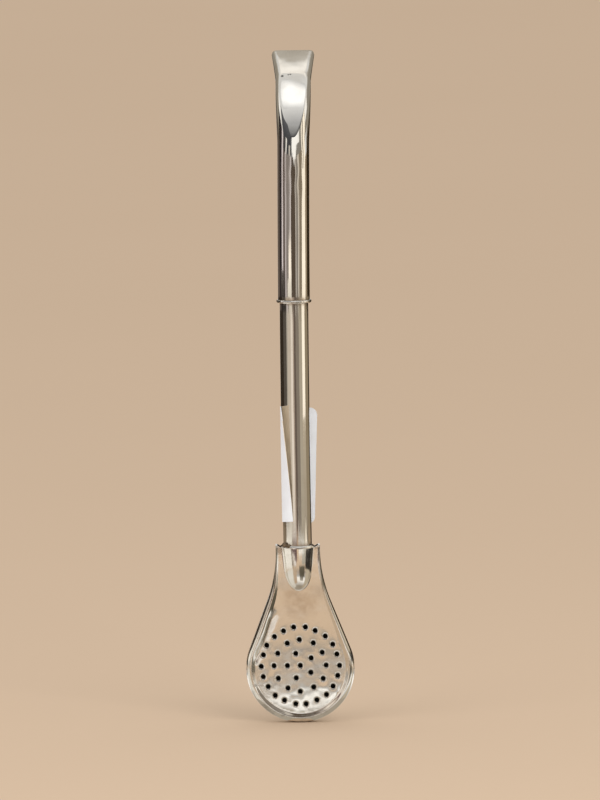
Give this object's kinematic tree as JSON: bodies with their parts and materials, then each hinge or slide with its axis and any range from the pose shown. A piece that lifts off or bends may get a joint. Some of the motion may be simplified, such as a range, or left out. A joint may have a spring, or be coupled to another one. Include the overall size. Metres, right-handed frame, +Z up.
{
  "type": "bombilla",
  "caption": "Metal drinking straw for mate with a flat perforated strainer of two pressed shells, a soldered straight stem, a wire ring and a bent, flattened mouthpiece.",
  "frame": {"origin": "lowest point of the strainer, below the axis of the stem", "axes": "+Z up along the stem to the mouthpiece, -Y out of the perforated face, +Y the way the mouthpiece leans, +X to the right seen from the perforated face"},
  "size_m": [0.0308, 0.0302, 0.1893],
  "materials": {
    "polished_silver": "polished nickel silver",
    "ring_silver": "polished wire, dull in the joint",
    "pressed_silver": "pressed sheet, polished, with fine scratches",
    "solder": "rough, browned solder",
    "paper": "matt white paper"
  },
  "bodies": {
    "root": {"upper_tube": "polished_silver", "joint_ring": "ring_silver", "lower_stem": "polished_silver", "front_shell": "pressed_silver", "back_shell": "pressed_silver", "neck_solder": "solder", "paper_label": "paper"}
  },
  "joints": []
}
